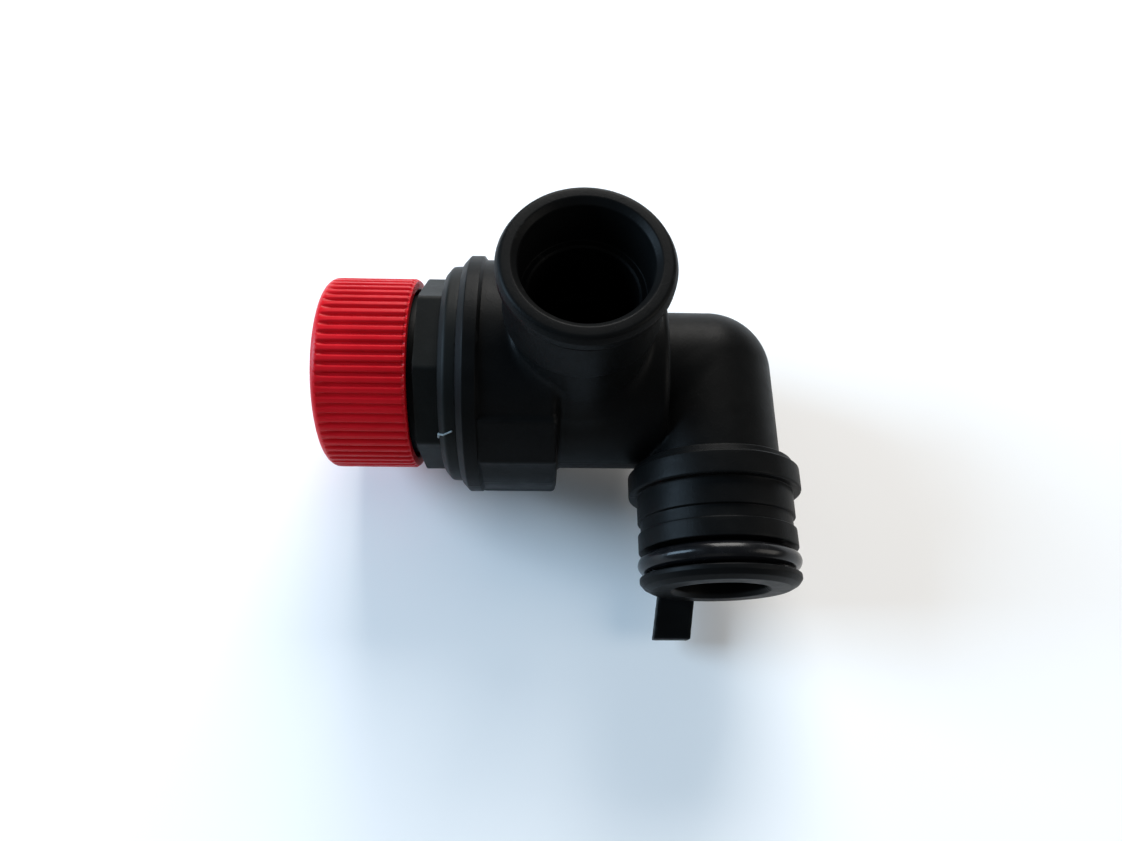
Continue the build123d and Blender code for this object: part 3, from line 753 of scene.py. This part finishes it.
def metal(name, base, dark, rough, lines=1500.0, axis_x=True):
    m, nt, b = nodes_of(name)
    co = add(nt, "ShaderNodeTexCoord").outputs["Object"]
    mp = add(nt, "ShaderNodeMapping")
    nt.links.new(co, mp.inputs["Vector"])
    mp.inputs["Scale"].default_value = (1.0, 0.04, 0.04) if axis_x else (0.04, 1.0, 0.04)
    turn = noise(nt, mp.outputs[0], lines, 3.0, 0.6)
    big = noise(nt, co, 160.0, 4.0, 0.6)
    col = mix_col(nt, ramp(nt, big, [(0.3, grey(0)), (0.75, grey(1))]), base, dark)
    nt.links.new(col, b.inputs["Base Color"])
    b.inputs["Metallic"].default_value = 1.0
    nt.links.new(math_node(nt, "ADD", math_node(nt, "MULTIPLY", math_node(nt, "SUBTRACT", big, 0.5), 0.3), rough), b.inputs["Roughness"])
    nt.links.new(bump(nt, turn, 0.4, 0.00001), b.inputs["Normal"])
    return m


RUBBER_O = rubber("o_ring_rubber", (0.0040, 0.0040, 0.0045, 1), 0.24, spec=0.19, coat=0.04)
RUBBER_D = rubber("diaphragm_rubber", (0.02, 0.02, 0.02, 1), 0.6)
BRASS = metal("turned_brass", (0.72, 0.50, 0.20, 1), (0.55, 0.36, 0.13, 1), 0.30)
STEEL = metal("stamped_steel", (0.56, 0.56, 0.58, 1), (0.40, 0.40, 0.42, 1), 0.32)
ZINC = metal("zinc_cup", (0.62, 0.60, 0.52, 1), (0.45, 0.45, 0.42, 1), 0.36)
SPRING_M = metal("spring_wire", (0.30, 0.30, 0.32, 1), (0.18, 0.17, 0.17, 1), 0.35)


def give(ob, mat):
    ob.data.materials.clear()
    ob.data.materials.append(mat)


def node_mat(node, mat):
    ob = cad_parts[node]
    if not ob.material_slots:
        ob.data.materials.append(mat)
    for s in ob.material_slots:
        s.material = mat


for o in (body, spigot, barb, rim):
    give(o, BLACK)
give(bonnet, BLACK_BONNET)
# the stake burr's raised shape is modelled; its light grey colour is a painted glint, standing in for the bright flash
# of light on the burr
BURR_PAINTED_GLINT = moulded("painted_glint_plastic", (0.09, 0.11, 0.115, 1), (0.19, 0.215, 0.22, 1), 0.45)
give(burr, BURR_PAINTED_GLINT)
give(knob, RED)
give(knob_cam, RED)
give(cap, RED_CAP)
give(oring, RUBBER_O)
give(spring, SPRING_M)
for o in (dia_rim, dia_fold, dia_mid):
    give(o, RUBBER_D)
for n, mt in (("stem", BRASS), ("knob_washer", STEEL), ("knob_clip", SPRING_M), ("disc_holder", BLACK_BONNET), ("seal_disc", RUBBER_D),
              ("seal_disc_washer", STEEL), ("seal_disc_screw", STEEL), ("diaphragm", RUBBER_D), ("diaphragm_slip_ring", NATURAL),
              ("diaphragm_plate", BRASS), ("stem_nut", BRASS), ("lower_spring_cup", ZINC), ("spring", SPRING_M),
              ("upper_spring_washer", STEEL), ("adjusting_nut", NATURAL), ("stem_bush", NATURAL)):
    node_mat(n, mt)

# ------------------------------------------------------------------ how it rides
for ob, b, n, s in ((body, "body", "valve_body", "body_plastic"), (spigot, "body", "valve_body", "body_plastic"),
                    (barb, "body", "valve_body", "body_plastic"), (rim, "body", "valve_body", "body_plastic"),
                    (bonnet, "body", "bonnet", "bonnet_plastic"),
                    (burr, "body", "bonnet", "bonnet_plastic"), (oring, "body", "inlet_o_ring", "o_ring_rubber"), (knob, "knob", "knob", "knob_plastic"),
                    (knob_cam, "knob", "knob", "knob_plastic"), (cap, "knob", "knob_cap", "cap_plastic"),
                    (spring, "body", "spring", "spring_steel"), (dia_rim, "body", "diaphragm", "diaphragm_rubber"),
                    (dia_fold, "body", "diaphragm", "diaphragm_rubber"), (dia_mid, "stem_set", "diaphragm", "diaphragm_rubber")):
    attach(ob, b)
    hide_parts(n)

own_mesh(spring)
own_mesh(dia_fold)

# ---------------------------------------------------------------- floor and light
low = CAD_BOX[0][2]


def stage_mesh(name, verts, faces):
    me = bpy.data.meshes.new(name)
    me.from_pydata(verts, [], faces)
    ob = bpy.data.objects.new(name, me)
    bpy.context.scene.collection.objects.link(ob)
    return ob


S = 3.0
floor = stage_mesh("floor", [(-S, -S, low), (S, -S, low), (S, S, low), (-S, S, low)], [(0, 1, 2, 3)])
fm, nt, b = nodes_of("pale_floor")
co = add(nt, "ShaderNodeTexCoord").outputs["Object"]
nz = noise(nt, co, 30.0, 3.0)
nt.links.new(mix_col(nt, nz, (0.94, 0.935, 0.93, 1), (0.96, 0.955, 0.95, 1)), b.inputs["Base Color"])
b.inputs["Roughness"].default_value = 0.9
b.inputs["Specular IOR Level"].default_value = 0.1
give(floor, fm)


def area(name, pos, target, size, power, colour, size_y=None):
    l = bpy.data.lights.new(name, "AREA")
    l.shape = "RECTANGLE"
    l.size = size
    l.size_y = size_y or size
    l.energy = power
    l.color = colour
    o = bpy.data.objects.new(name, l)
    bpy.context.scene.collection.objects.link(o)
    d = Vector(target) - Vector(pos)
    o.location = pos
    o.rotation_euler = d.to_track_quat("-Z", "Y").to_euler()
    return o


world = bpy.data.worlds.new("studio")
bpy.context.scene.world = world
world.use_nodes = True
bg = world.node_tree.nodes["Background"]
bg.inputs[0].default_value = (0.84, 0.92, 1.0, 1)
bg.inputs[1].default_value = 0.155
centre = (-0.010, 0.012, 0.0)
area("window_left", (-0.70, 0.12, 0.30), centre, 0.34, 8.0, (0.54, 0.77, 1.0), size_y=0.5)
area("top_soft", (0.05, 0.72, 0.40), centre, 0.5, 8.6, (1.0, 0.98, 0.95))
area("right_soft", (0.68, -0.12, 0.42), centre, 0.45, 2.0, (1.0, 0.95, 0.88))
area("front_soft", (-0.1, -0.75, 0.40), centre, 0.5, 0.22, (1.0, 0.96, 0.90))

bpy.context.scene.view_settings.view_transform = "Standard"
bpy.context.scene.view_settings.look = "None"
